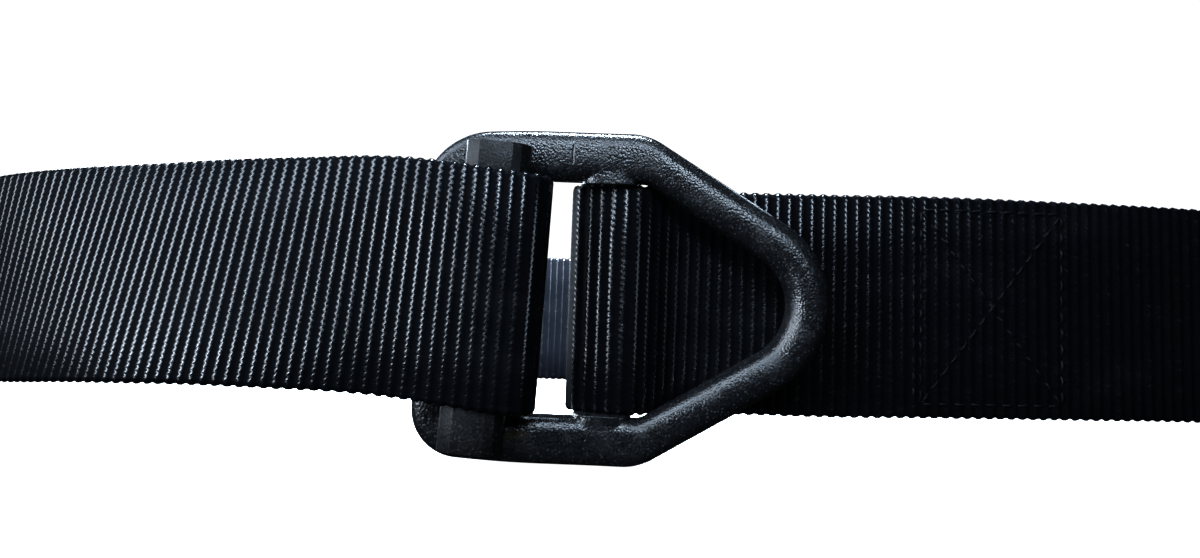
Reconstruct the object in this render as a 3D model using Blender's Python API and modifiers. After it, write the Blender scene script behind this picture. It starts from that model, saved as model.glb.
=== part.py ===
"""A nylon webbing belt, fastened in a loop by a cast V-ring friction buckle, standing on its edge.

The buckle faces -Y and stands on its lower rail. The strap is one continuous length: its sewn end wraps the
crossbar, the loop runs right, round the back and in from the left, and the running end passes up through
the slot, round the slide bar and out to the left over the loop as the tail. Lengths are in metres.
"""

from math import atan2, cos, degrees, pi, radians, sin, sqrt, tan

import bmesh
import bpy
import numpy as np
from mathutils import Matrix, Vector

MM = 0.001
CLEARANCE = 0.4 * MM
WRAP_CLEARANCE = 0.55 * MM

# Webbing
WEB_WIDTH = 38.0 * MM
WEB_THICKNESS = 1.8 * MM
WEB_EDGE_CHAMFER = 0.45 * MM
WEB_LONGEST_STEP = 6.5 * MM
WEB_MOST_TURN = radians(12)
WRAP_POINTS = 7
WRAP_OFFSET = WEB_THICKNESS / 2 + WRAP_CLEARANCE

# Buckle frame, seen from the front: u runs right and w up from its centre
FRAME_WIDTH = 68.6 * MM
FRAME_HEIGHT = 55.5 * MM
FRAME_THICKNESS = 6.0 * MM
FRAME_ROUNDING = 2.4 * MM
RAIL_WIDTH = 8.05 * MM
END_BAR_WIDTH = 6.8 * MM
END_CORNER_RADIUS = 9.0 * MM
RAIL_TAPER = 0.75 * MM
RAIL_TAPER_HALFWAY = 0.3
RAIL_LEVEL_FROM = -12.0 * MM
SHOULDER_RADIUS = 3.2 * MM
SLOT_CORNER_RADIUS = 2.5 * MM
RING_CORNER_RADIUS = 2.0 * MM
RING_HALF_ANGLE = radians(32.2)
RING_TIP_RADIUS = 16.1 * MM
RING_BAR_WIDTH = 6.8 * MM
RING_RAISE = radians(8)
RING_RAISED_FROM = 0.0
CROSSBAR_LEFT_U = -6.0 * MM
CROSSBAR_WIDTH = 9.6 * MM
CROSSBAR_THICKNESS = 3.2 * MM
CROSSBAR_FRONT_Y = 2.0 * MM
CROSSBAR_LENGTH = 45.0 * MM

# Slide bar
BAR_CENTRE_U = -22.5 * MM
BAR_WIDTH = 12.4 * MM
BAR_FRONT_Y = -8.0 * MM
BAR_THICKNESS = 4.6 * MM
BAR_BODY_LENGTH = 38.2 * MM
LUG_WIDTH = 9.3 * MM
LUG_ROUNDING = 1.7 * MM
BAR_LENGTH = 51.0 * MM
BAR_TILT = radians(3.65)
SLOT_RISE = 0.3 * MM

BUCKLE_HEIGHT = FRAME_HEIGHT / 2

# The strap's route outside the buckle, in millimetres and degrees. x and y place its middle line in plan,
# rise is that line's height above the buckle's centre, back and right are the lean of its upper edge.
SEWN_LAYER = (
    # x, y, rise, back, right
    (86.0, 11.00, 0.9, 2.5, -1.0),
    (75.0, 9.60, 0.9, 2.5, -1.0),
    (62.0, 8.20, 0.8, 2.2, -1.0),
    (50.0, 7.60, 0.6, 2.0, -1.0),
    (42.0, 7.85, 0.4, 1.6, -0.8),
    (34.0, 8.40, 0.2, 1.2, -0.6),
    (25.0, 8.70, 0.1, 0.8, -0.4),
    (17.0, 8.25, 0.0, 0.4, -0.2),
    (10.0, 7.25, 0.0, 0.0, 0.0),
    (4.0, 6.72, 0.0, 0.0, 0.0),
)
RIGHT_RUN = (
    (1.5, 0.52, 0.0, 0.0, 0.0),
    (4.3, 0.95, 0.0, 0.0, 0.0),
    (8.0, 3.00, 0.0, 0.0, 0.0),
    (12.0, 4.30, 0.0, 0.0, 0.0),
    (17.0, 5.05, 0.0, 0.4, -0.2),
    (25.0, 5.05, 0.1, 0.8, -0.4),
    (34.0, 4.80, 0.2, 1.2, -0.6),
    (50.0, 5.15, 0.6, 2.0, -1.0),
    (62.0, 5.95, 0.8, 2.2, -1.0),
    (75.0, 7.35, 0.9, 2.5, -1.0),
    (104.0, 11.40, 1.0, 3.0, -1.0),
)
LOOP = (
    (140.0, 18.4, 0.2, 3.6, 0.0),
    (172.0, 29.5, -1.2, 3.6, 0.0),
    (203.0, 45.5, -2.6, 3.6, 0.0),
    (221.0, 67.0, -4.2, 3.6, 0.0),
    (219.0, 93.0, -5.9, 3.6, 0.0),
    (198.0, 115.0, -7.3, 3.6, 0.0),
    (160.0, 129.0, -8.2, 3.6, 0.0),
    (110.0, 136.5, -8.6, 3.6, 0.0),
    (50.0, 139.0, -8.70, 3.6, 0.0),
    (-10.0, 138.0, -8.6, 3.6, 0.0),
    (-65.0, 132.0, -8.3, 3.6, 0.0),
    (-108.0, 119.0, -7.5, 3.6, 0.0),
    (-137.0, 98.0, -6.2, 3.6, 0.0),
    (-149.0, 71.0, -4.5, 3.6, 0.0),
    (-143.0, 46.0, -2.9, 3.6, 0.0),
    (-129.5, 28.2, -1.6, 3.6, 1.5),
)
LEFT_RUN = (
    (-113.0, 16.00, -0.4, 3.0, 4.5),
    (-98.0, 9.40, 0.9, 8.0, 4.7),
    (-83.0, 5.00, 1.8, 11.0, 4.3),
    (-68.0, 2.90, 2.2, 9.0, 4.0),
    (-52.0, 2.90, 2.1, 5.0, 3.8),
    (-41.0, 3.90, 1.6, 2.0, 3.7),
    (-34.0, 4.65, 1.2, 0.0, 3.65),
    (-28.5, 4.55, 0.6, 0.0, 3.65),
    (-23.0, 1.40, 0.35, 0.0, 3.65),
)
TAIL = (
    (-24.0, -9.45, 1.2, 0.0, 3.65),
    (-30.0, -8.80, 1.9, 0.5, 3.65),
    (-36.0, -7.85, 2.5, 2.0, 3.65),
    (-44.0, -6.85, 2.9, 6.0, 3.8),
    (-52.0, -5.75, 2.9, 9.5, 3.8),
    (-68.0, -3.10, 2.6, 13.0, 3.9),
    (-83.0, 0.95, 1.9, 13.0, 4.3),
    (-98.0, 6.45, 1.0, 9.0, 4.7),
    (-113.0, 13.30, -0.2, 3.5, 4.6),
    (-127.0, 22.20, -1.2, 3.6, 2.4),
    (-138.6, 33.40, -2.1, 3.6, 0.8),
    (-146.9, 47.60, -3.0, 3.6, 0.0),
)


def clear_scene():
    for obj in list(bpy.data.objects):
        bpy.data.objects.remove(obj, do_unlink=True)


def new_collection(name):
    collection = bpy.data.collections.new(name)
    bpy.context.scene.collection.children.link(collection)
    return collection


def principled(name, colour, roughness, metallic):
    material = bpy.data.materials.new(name)
    material.use_nodes = True
    shader = material.node_tree.nodes["Principled BSDF"]
    shader.inputs["Base Color"].default_value = (*colour, 1.0)
    shader.inputs["Roughness"].default_value = roughness
    shader.inputs["Metallic"].default_value = metallic
    return material


def add_object(name, mesh, collection, material):
    obj = bpy.data.objects.new(name, mesh)
    obj.data.materials.append(material)
    collection.objects.link(obj)
    return obj


def finish_smooth(obj):
    obj.data.shade_smooth()
    obj.data.set_sharp_from_angle(angle=radians(40))


def arc(centre, radius, start, end, count):
    """Points along a circle's arc in one plane, both ends included."""
    angles = np.linspace(start, end, count)
    return [(centre[0] + radius * cos(a), centre[1] + radius * sin(a)) for a in angles]


def wrap_rows(centre, radius, start, end, rise_at, lean_right):
    """Route rows, in the table's units, for the strap's turn round a bar."""
    rows = []
    for x, y in arc(centre, radius, start, end, WRAP_POINTS):
        rows.append((x / MM, y / MM, rise_at(x / MM), 0.0, lean_right))
    return rows


def crossbar_wrap():
    radius = CROSSBAR_THICKNESS / 2
    centre = (CROSSBAR_LEFT_U + radius, CROSSBAR_FRONT_Y + radius)
    return wrap_rows(centre, radius + WRAP_OFFSET, pi / 2, 3 * pi / 2, lambda x: 0.0, 0.0)


def slide_bar_wrap():
    radius = BAR_THICKNESS / 2
    centre = (BAR_CENTRE_U + BAR_WIDTH / 2 - radius, BAR_FRONT_Y + radius)
    right_x = (centre[0] + radius) / MM
    return wrap_rows(
        centre,
        radius + WRAP_OFFSET,
        radians(65),
        radians(-90),
        lambda x: SLOT_RISE / MM + (right_x - x) * tan(BAR_TILT),
        degrees(BAR_TILT),
    )


def strap_route():
    rows = [*SEWN_LAYER, *crossbar_wrap(), *RIGHT_RUN, *LOOP, *LEFT_RUN, *slide_bar_wrap(), *TAIL]
    return np.array(rows)


def cubic_spline(knots, values):
    """Natural cubic spline through the rows of values, as a function of the knots."""
    h = np.diff(knots)
    count = len(knots)
    system = np.eye(count)
    right = np.zeros_like(values)
    for i in range(1, count - 1):
        system[i, i - 1 : i + 2] = h[i - 1], 2 * (h[i - 1] + h[i]), h[i]
        right[i] = 6 * ((values[i + 1] - values[i]) / h[i] - (values[i] - values[i - 1]) / h[i - 1])
    bend = np.linalg.solve(system, right)

    def at(t):
        i = np.clip(np.searchsorted(knots, t) - 1, 0, count - 2)
        a = ((knots[i + 1] - t) / h[i])[:, None]
        b = 1 - a
        square = (h[i] ** 2 / 6)[:, None]
        return (
            a * values[i]
            + b * values[i + 1]
            + ((a**3 - a) * bend[i] + (b**3 - b) * bend[i + 1]) * square
        )

    return at


def strap_stations():
    """Middle points and edge directions along the strap, closer together where it turns."""
    rows = strap_route()
    rows[:, 2] += BUCKLE_HEIGHT / MM
    knots = np.concatenate([[0.0], np.cumsum(np.linalg.norm(np.diff(rows[:, :3], axis=0), axis=1))])
    at = cubic_spline(knots, rows)
    fine = at(np.linspace(0.0, knots[-1], 6000))
    steps = np.diff(fine[:, :3], axis=0)
    lengths = np.linalg.norm(steps, axis=1) * MM
    heading = np.unwrap(np.arctan2(steps[:, 1], steps[:, 0]))
    turns = np.abs(np.diff(heading, prepend=heading[0]))
    spent = np.concatenate([[0.0], np.cumsum(lengths / WEB_LONGEST_STEP + turns / WEB_MOST_TURN)])
    count = int(np.ceil(spent[-1])) + 1
    picked = np.interp(np.linspace(0.0, spent[-1], count), spent, np.arange(len(fine)))
    chosen = fine[np.round(picked).astype(int)]
    middles = chosen[:, :3] * MM
    lean_right, lean_back = np.tan(np.radians(chosen[:, 4])), np.tan(np.radians(chosen[:, 3]))
    across = np.column_stack([lean_right, lean_back, np.ones(count)])
    across /= np.linalg.norm(across, axis=1)[:, None]
    return middles, across


def build_strap(collection, material):
    """The strap's middle surface is a long grid laid along the route, thickened to the webbing."""
    middles, across = strap_stations()
    bm = bmesh.new()
    bmesh.ops.create_grid(bm, x_segments=len(middles) - 1, y_segments=1, size=1.0)
    bm.verts.ensure_lookup_table()
    columns = sorted({round(v.co.x, 6) for v in bm.verts})
    place = {x: i for i, x in enumerate(columns)}
    for vert in bm.verts:
        i = place[round(vert.co.x, 6)]
        side = WEB_WIDTH / 2 if vert.co.y > 0 else -WEB_WIDTH / 2
        vert.co = Vector(middles[i]) + side * Vector(across[i])
    mesh = bpy.data.meshes.new("belt_strap")
    bm.to_mesh(mesh)
    bm.free()
    strap = add_object("belt_strap", mesh, collection, material)
    wall = strap.modifiers.new("webbing", "SOLIDIFY")
    wall.thickness = WEB_THICKNESS
    wall.offset = 0.0
    wall.use_even_offset = True
    edges = strap.modifiers.new("selvedge", "BEVEL")
    edges.width = WEB_EDGE_CHAMFER
    edges.segments = 1
    edges.limit_method = "ANGLE"
    edges.angle_limit = radians(60)
    finish_smooth(strap)
    return strap


def filleted(corner, before, after, radius, count):
    """Arc points that round a corner between its two neighbours."""
    corner, before, after = Vector(corner), Vector(before), Vector(after)
    inward, outward = (before - corner).normalized(), (after - corner).normalized()
    half = inward.angle(outward) / 2
    centre = corner + (inward + outward).normalized() * radius / sin(half)
    first = corner + inward * radius / tan(half) - centre
    last = corner + outward * radius / tan(half) - centre
    start = atan2(first.y, first.x)
    sweep = atan2(first.cross(last), first.dot(last))
    return arc(centre, radius, start, start + sweep, count)


def mirrored_outline(upper):
    """Closes an outline whose upper half runs from left to right."""
    lower = [(u, -w) for u, w in reversed(upper) if w > 1e-7]
    return upper + lower


def ring_tip_u():
    """Where the V ring's straight outer edges would meet."""
    half_width = FRAME_WIDTH / 2
    return half_width + RING_TIP_RADIUS * (1 / sin(RING_HALF_ANGLE) - 1)


def frame_outline():
    left, top = -FRAME_WIDTH / 2, FRAME_HEIGHT / 2
    tip_u = ring_tip_u()
    tip_centre = (tip_u - RING_TIP_RADIUS / sin(RING_HALF_ANGLE), 0.0)
    end_top = top - RAIL_TAPER
    shoulder = (tip_u - top / tan(RING_HALF_ANGLE), top)
    upper = filleted((left, end_top), (left, 0), (0, end_top), END_CORNER_RADIUS, 8)
    halfway_u = (left + END_CORNER_RADIUS + RAIL_LEVEL_FROM) / 2
    upper.append((halfway_u, top - RAIL_TAPER * RAIL_TAPER_HALFWAY))
    upper.append((RAIL_LEVEL_FROM, top))
    upper += filleted(shoulder, (RAIL_LEVEL_FROM, top), (tip_u, 0), SHOULDER_RADIUS, 5)
    upper += arc(tip_centre, RING_TIP_RADIUS, pi / 2 - RING_HALF_ANGLE, 0.0, 9)
    return mirrored_outline(upper)


def frame_opening():
    left, top = -FRAME_WIDTH / 2 + END_BAR_WIDTH, FRAME_HEIGHT / 2 - RAIL_WIDTH
    tip_u = ring_tip_u() - RING_BAR_WIDTH / sin(RING_HALF_ANGLE)
    inner_radius = RING_TIP_RADIUS - RING_BAR_WIDTH
    tip_centre = (tip_u - inner_radius / sin(RING_HALF_ANGLE), 0.0)
    corner = (tip_u - top / tan(RING_HALF_ANGLE), top)
    upper = filleted((left, top), (left, 0), (0, top), SLOT_CORNER_RADIUS, 5)
    upper += filleted(corner, (left, top), (tip_u, 0), RING_CORNER_RADIUS, 3)
    upper += arc(tip_centre, inner_radius, pi / 2 - RING_HALF_ANGLE, 0.0, 7)
    return mirrored_outline(upper)


def plate_mesh(outlines, thickness):
    """A flat plate standing in the XZ plane, from its outline and the openings in it."""
    curve = bpy.data.curves.new("plate", "CURVE")
    curve.dimensions = "2D"
    curve.fill_mode = "BOTH"
    curve.extrude = thickness / 2
    for outline in outlines:
        spline = curve.splines.new("POLY")
        spline.points.add(len(outline) - 1)
        for point, (u, w) in zip(spline.points, outline):
            point.co = (u, w, 0.0, 1.0)
        spline.use_cyclic_u = True
    drawn = bpy.data.objects.new("plate", curve)
    bpy.context.scene.collection.objects.link(drawn)
    bpy.context.view_layer.update()
    mesh = bpy.data.meshes.new_from_object(drawn.evaluated_get(bpy.context.evaluated_depsgraph_get()))
    bpy.data.objects.remove(drawn, do_unlink=True)
    bm = bmesh.new()
    bm.from_mesh(mesh)
    bmesh.ops.remove_doubles(bm, verts=bm.verts, dist=1e-6)
    bmesh.ops.dissolve_limit(bm, angle_limit=radians(1), verts=bm.verts, edges=bm.edges)
    bmesh.ops.rotate(bm, verts=bm.verts, matrix=Matrix.Rotation(pi / 2, 3, "X"))
    bmesh.ops.recalc_face_normals(bm, faces=bm.faces)
    bm.to_mesh(mesh)
    bm.free()
    return mesh


def raise_ring(mesh):
    """Bends the V ring forward, from a crease across the rails."""
    bm = bmesh.new()
    bm.from_mesh(mesh)
    bmesh.ops.bisect_plane(
        bm, geom=[*bm.verts, *bm.edges, *bm.faces], plane_co=(RING_RAISED_FROM, 0, 0), plane_no=(1, 0, 0)
    )
    for vert in bm.verts:
        vert.co.y -= max(0.0, vert.co.x - RING_RAISED_FROM) * tan(RING_RAISE)
    bm.to_mesh(mesh)
    bm.free()


def box_mesh(name, low, high):
    bm = bmesh.new()
    bmesh.ops.create_cube(bm, size=1.0)
    low, high = Vector(low), Vector(high)
    for vert in bm.verts:
        vert.co = (low + high) / 2 + Vector([v * s for v, s in zip(vert.co, high - low)])
    mesh = bpy.data.meshes.new(name)
    bm.to_mesh(mesh)
    bm.free()
    return mesh


def add_rounding(obj, width, segments):
    bevel = obj.modifiers.new("rounding", "BEVEL")
    bevel.width = width
    bevel.segments = segments
    bevel.limit_method = "ANGLE"
    bevel.angle_limit = radians(50)


def add_union(obj, other):
    union = obj.modifiers.new("joined " + other.name, "BOOLEAN")
    union.operation = "UNION"
    union.solver = "EXACT"
    union.object = other


def as_guide(obj):
    obj.hide_render = True
    obj.display_type = "WIRE"


def build_frame(collection, guides, material):
    """V ring, rails and end bar are one rounded plate. The crossbar is let into its back."""
    mesh = plate_mesh([frame_outline(), frame_opening()], FRAME_THICKNESS)
    raise_ring(mesh)
    frame = add_object("buckle_frame", mesh, collection, material)
    frame.location.z = BUCKLE_HEIGHT
    add_rounding(frame, FRAME_ROUNDING, 3)
    crossbar = add_object(
        "crossbar_guide",
        box_mesh(
            "crossbar_guide",
            (CROSSBAR_LEFT_U, CROSSBAR_FRONT_Y, -CROSSBAR_LENGTH / 2),
            (CROSSBAR_LEFT_U + CROSSBAR_WIDTH, CROSSBAR_FRONT_Y + CROSSBAR_THICKNESS, CROSSBAR_LENGTH / 2),
        ),
        guides,
        material,
    )
    crossbar.location.z = BUCKLE_HEIGHT
    add_rounding(crossbar, CROSSBAR_THICKNESS * 0.42, 3)
    as_guide(crossbar)
    add_union(frame, crossbar)
    finish_smooth(frame)
    return frame


def build_slide_bar(collection, guides, material):
    """A wide rounded body lies in the slot's mouth, and a narrower lug at each end rests on a rail."""
    half_body, half_bar = BAR_BODY_LENGTH / 2, BAR_LENGTH / 2
    rail_front_y = -FRAME_THICKNESS / 2 - CLEARANCE
    body = box_mesh(
        "slide_bar",
        (-BAR_WIDTH / 2, BAR_FRONT_Y, -half_body),
        (BAR_WIDTH / 2, BAR_FRONT_Y + BAR_THICKNESS, half_body),
    )
    lugs = box_mesh(
        "lug_guide",
        (-LUG_WIDTH / 2, BAR_FRONT_Y, -half_bar),
        (LUG_WIDTH / 2, rail_front_y, half_bar),
    )
    bar = add_object("slide_bar", body, collection, material)
    lug_bar = add_object("lug_guide", lugs, guides, material)
    for obj in (bar, lug_bar):
        obj.location = (BAR_CENTRE_U, 0.0, BUCKLE_HEIGHT)
        obj.rotation_euler.y = BAR_TILT
    add_rounding(bar, BAR_THICKNESS * 0.48, 4)
    add_rounding(lug_bar, LUG_ROUNDING, 2)
    as_guide(lug_bar)
    add_union(bar, lug_bar)
    finish_smooth(bar)
    return bar


def stand_on_origin(parts, guides):
    """Moves the belt so that the middle of its footprint is the origin and its lowest point is at zero."""
    bpy.context.view_layer.update()
    graph = bpy.context.evaluated_depsgraph_get()
    points = []
    for obj in parts.objects:
        evaluated = obj.evaluated_get(graph)
        points += [obj.matrix_world @ vert.co for vert in evaluated.to_mesh().vertices]
        evaluated.to_mesh_clear()
    low = [min(p[i] for p in points) for i in range(3)]
    high = [max(p[i] for p in points) for i in range(3)]
    shift = Vector((-(low[0] + high[0]) / 2, -(low[1] + high[1]) / 2, -low[2]))
    for obj in [*parts.objects, *guides.objects]:
        obj.location += shift


def build_belt():
    clear_scene()
    parts, guides = new_collection("nylon_belt"), new_collection("guides")
    nylon = principled("black_nylon", (0.012, 0.013, 0.018), 0.6, 0.0)
    coated = principled("black_powder_coat", (0.02, 0.02, 0.023), 0.42, 0.0)
    build_strap(parts, nylon)
    build_frame(parts, guides, coated)
    build_slide_bar(parts, guides, coated)
    stand_on_origin(parts, guides)


build_belt()
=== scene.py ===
from math import atan2, cos, pi, radians, sin, sqrt, tan

import bmesh
import bpy
import numpy as np
from mathutils import Matrix, Vector


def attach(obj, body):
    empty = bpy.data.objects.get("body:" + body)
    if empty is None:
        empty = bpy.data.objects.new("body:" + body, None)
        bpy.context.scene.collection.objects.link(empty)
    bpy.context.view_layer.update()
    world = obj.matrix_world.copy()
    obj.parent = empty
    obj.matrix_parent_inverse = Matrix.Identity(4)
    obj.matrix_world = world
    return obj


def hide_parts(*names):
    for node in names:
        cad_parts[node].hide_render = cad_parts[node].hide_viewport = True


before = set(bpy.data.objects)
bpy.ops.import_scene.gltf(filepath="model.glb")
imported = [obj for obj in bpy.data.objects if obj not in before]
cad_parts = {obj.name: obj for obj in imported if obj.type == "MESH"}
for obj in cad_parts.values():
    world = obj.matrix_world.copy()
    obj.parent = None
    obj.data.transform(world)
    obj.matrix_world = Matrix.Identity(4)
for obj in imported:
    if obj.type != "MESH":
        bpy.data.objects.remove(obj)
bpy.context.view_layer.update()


# The view. The belt is seen from 15 cm in front of its buckle, level with the strap's middle.
# A lens that wide and that near makes the buckle large and lets both ends of the strap shrink away.

BUCKLE_CENTRE = Vector((-0.036726, -0.065326, 0.02775))
VIEW_FROM = (-0.03997, -0.21847, 0.02991)
VIEW_YAW = -0.0019
VIEW_PITCH = 0.0088
VIEW_ROLL = 0.0378
LENS_MM = 27.13
SENSOR_MM = 36.0
NEAREST_SEEN = 0.01
FURTHEST_SEEN = 20.0

lens = bpy.data.cameras.new("view")
lens.lens = LENS_MM
lens.sensor_width = SENSOR_MM
lens.clip_start = NEAREST_SEEN
lens.clip_end = FURTHEST_SEEN
viewer = bpy.data.objects.new("view", lens)
turn = Matrix.Rotation(-VIEW_YAW, 3, "Z") @ Matrix.Rotation(pi / 2 + VIEW_PITCH, 3, "X")
viewer.rotation_euler = (turn @ Matrix.Rotation(VIEW_ROLL, 3, "Z")).to_euler()
viewer.location = VIEW_FROM
bpy.context.scene.collection.objects.link(viewer)
bpy.context.scene.camera = viewer


# The webbing. One 1.11 m length of heavy black nylon, woven warp over thick weft so that ribs 2 mm
# apart run across it. It is cut with a hot knife, sewn round the crossbar and threaded by hand.

MM = 0.001
WEB_WIDTH = 38.4
WEB_LIFT = 0.15
WEB_HALF_THICKNESS = 0.72
RIB_PITCH = 2.0
RIB_HEIGHT = 0.13
RIB_CREST = 0.62
RIB_PLACES = (0.0, 0.2, 0.34, 0.5, 0.72, 1.28, 1.5, 1.66, 1.8)
RIB_UNEVEN = 0.03
RIB_WANDER = 0.10
WANDER_SCALE = (0.11, 0.075)
LUMP_SCALE = (1.7, 0.3)
# Grooves are counted in ribs from the sewn end, and the last one this far from the free end.
FIRST_GROOVE = 0.5
LAST_GROOVE = 0.7
END_STEPS = (0.0, 0.12, 0.35)
END_CLEAR = 0.5
SELVEDGE_DEPTHS = (0.66, 0.0, -0.66)
SELVEDGE_SIDES = (0.985, 1.0, 0.985)
SELVEDGE_SWELL = 2.2
FACE_COLUMNS = 5
FACE_SHARE = 0.962
SEALED_END = 1.3
SEALED_FADE = (0.4, 1.0)
# The weft's slant in degrees, by the distance from the free end.
WEFT_SLANT = (
    (0.0, 0.0), (8.0, 3.5), (24.0, 5.5), (44.0, 7.5), (66.0, 6.5), (95.0, 3.0), (120.0, 1.8),
    (150.0, 0.0),
)
WRAP_OFFSET = 1.45
CROSSBAR_WRAP_CENTRE = (-5.0, 3.75)
CROSSBAR_WRAP_RADIUS = 2.97
CROSSBAR_WRAP_TURN = (90, 188)
BAR_WRAP_CENTRE = (-17.05, -5.7)
BAR_WRAP_TURN = (65, -90)
BAR_HALF_THICKNESS = 2.3
BAR_TILT = 3.65
WRAP_LEAN = 2.5
SLOT_RISE = 0.3
WRAP_POINTS = 7
ROUTE_STEPS = 24000

# Each row is x, y in plan from the buckle's centre and rise above it in millimetres, then the lean of
# the upper edge to the back and to the right in degrees.
SEWN_LAYER = (
    (86.0, 10.74, 0.9, 2.5, -1.0), (75.0, 9.35, 0.9, 2.5, -1.0), (62.0, 7.96, 0.8, 2.2, -1.0),
    (50.0, 7.37, 0.6, 2.0, -1.0), (42.0, 7.70, 0.4, 1.6, -0.8), (34.0, 8.35, 0.2, 1.2, -0.6),
    (25.0, 8.70, 0.1, 0.8, -0.4), (17.0, 8.25, 0.0, 0.4, -0.2), (10.0, 7.25, 0.0, 0.0, 0.0),
    (4.0, 6.72, 0.0, 0.0, 0.0),
)
RIGHT_RUN = (
    (-7.15, 2.25, 0.0, 0.0, 0.0), (-5.7, 1.35, 0.0, 0.0, 0.0), (-4.0, 0.60, 0.0, 0.0, 0.0),
    (-2.2, -0.02, 0.0, 0.0, 0.0), (-0.4, -0.42, 0.0, 0.0, 0.0), (1.6, -0.50, 0.0, 0.0, 0.0),
    (4.3, 0.55, 0.0, 0.0, 0.0), (8.0, 2.95, 0.0, 0.0, 0.0),
    (12.0, 4.30, 0.0, 0.0, 0.0), (17.0, 5.05, 0.0, 0.4, -0.2), (25.0, 5.05, 0.1, 0.8, -0.4),
    (34.0, 4.80, 0.2, 1.2, -0.6), (50.0, 5.15, 0.6, 2.0, -1.0), (62.0, 5.95, 0.8, 2.2, -1.0),
    (75.0, 7.35, 0.9, 2.5, -1.0), (104.0, 11.40, 1.0, 3.0, -1.0),
)
LOOP = (
    (140.0, 18.4, 0.2, 3.6, 0.0), (172.0, 29.5, -1.2, 3.6, 0.0), (203.0, 45.5, -2.6, 3.6, 0.0),
    (221.0, 67.0, -4.2, 3.6, 0.0), (219.0, 93.0, -5.9, 3.6, 0.0), (198.0, 115.0, -7.3, 3.6, 0.0),
    (160.0, 129.0, -8.2, 3.6, 0.0), (110.0, 136.5, -8.6, 3.6, 0.0), (50.0, 139.0, -8.70, 3.6, 0.0),
    (-10.0, 138.0, -8.6, 3.6, 0.0), (-65.0, 132.0, -8.3, 3.6, 0.0), (-108.0, 119.0, -7.5, 3.6, 0.0),
    (-137.0, 98.0, -6.2, 3.6, 0.0), (-149.0, 71.0, -4.5, 3.6, 0.0), (-143.0, 46.0, -2.9, 3.6, 0.0),
    (-129.5, 28.2, -1.6, 3.6, 1.5),
)
LEFT_RUN = (
    (-113.0, 16.00, -0.4, 3.0, 4.5), (-98.0, 9.40, 0.9, 8.0, 4.7), (-83.0, 5.00, 1.8, 11.0, 4.3),
    (-68.0, 2.90, 2.2, 9.0, 4.0), (-52.0, 2.90, 2.1, 5.0, 3.8), (-41.0, 3.90, 1.6, 2.0, 3.7),
    (-34.0, 4.65, 1.2, 0.0, 3.65), (-28.5, 4.75, 0.6, 0.0, 3.2), (-21.6, 1.50, 0.35, 0.0, 2.6),
)
TAIL = (
    (-24.0, -9.45, 1.2, 0.0, 2.9), (-30.0, -8.80, 1.9, 0.5, 3.4), (-36.0, -7.85, 2.5, 2.0, 3.65),
    (-44.0, -6.85, 2.9, 6.0, 3.8), (-52.0, -5.75, 2.9, 9.5, 3.8), (-68.0, -3.10, 2.6, 13.0, 3.9),
    (-83.0, 0.95, 1.9, 13.0, 4.3), (-98.0, 6.45, 1.0, 9.0, 4.7), (-113.0, 13.30, -0.2, 3.5, 4.6),
    (-127.0, 22.20, -1.2, 3.6, 2.4), (-138.6, 33.40, -2.1, 3.6, 0.8), (-146.9, 47.60, -3.0, 3.6, 0.0),
)


def rows_round(centre, radius, start, end, rise_at, lean_right):
    """Route rows for the strap's turn round a bar, from one angle to another."""
    rows = []
    for angle in np.linspace(radians(start), radians(end), WRAP_POINTS):
        x = centre[0] + radius * cos(angle)
        rows.append((x, centre[1] + radius * sin(angle), rise_at(x), 0.0, lean_right))
    return rows


def natural_spline(knots, values):
    """The smooth curve through the rows of values, as a function of the knots."""
    gap = np.diff(knots)
    count = len(knots)
    system = np.eye(count)
    right = np.zeros_like(values)
    for i in range(1, count - 1):
        system[i, i - 1 : i + 2] = gap[i - 1], 2 * (gap[i - 1] + gap[i]), gap[i]
        steps = (values[i + 1] - values[i]) / gap[i] - (values[i] - values[i - 1]) / gap[i - 1]
        right[i] = 6 * steps
    bend = np.linalg.solve(system, right)

    def at(t):
        i = np.clip(np.searchsorted(knots, t) - 1, 0, count - 2)
        a = ((knots[i + 1] - t) / gap[i])[:, None]
        b = 1 - a
        square = (gap[i] ** 2 / 6)[:, None]
        curve = (a**3 - a) * bend[i] + (b**3 - b) * bend[i + 1]
        return a * values[i] + b * values[i + 1] + curve * square

    return at


bar_wrap_right = BAR_WRAP_CENTRE[0] + BAR_HALF_THICKNESS
route_rows = np.array([
    *SEWN_LAYER,
    *rows_round(CROSSBAR_WRAP_CENTRE, CROSSBAR_WRAP_RADIUS, *CROSSBAR_WRAP_TURN, lambda x: 0.0, 0.0),
    *RIGHT_RUN, *LOOP, *LEFT_RUN,
    *rows_round(
        BAR_WRAP_CENTRE, BAR_HALF_THICKNESS + WRAP_OFFSET, *BAR_WRAP_TURN,
        lambda x: SLOT_RISE + (bar_wrap_right - x) * tan(radians(BAR_TILT)), WRAP_LEAN,
    ),
    *TAIL,
])
route_rows[:, 2] += BUCKLE_CENTRE.z / MM + WEB_LIFT
row_gaps = np.linalg.norm(np.diff(route_rows[:, :3], axis=0), axis=1)
route_knots = np.concatenate([[0.0], np.cumsum(row_gaps)])
route_at = natural_spline(route_knots, route_rows)
route_fine = route_at(np.linspace(0.0, route_knots[-1], ROUTE_STEPS))
fine_lengths = np.linalg.norm(np.diff(route_fine[:, :3], axis=0), axis=1)
route_lengths = np.concatenate([[0.0], np.cumsum(fine_lengths)])
fine_forward = np.gradient(route_fine[:, :3], route_lengths, axis=0)
WEB_LENGTH = float(route_lengths[-1])


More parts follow.
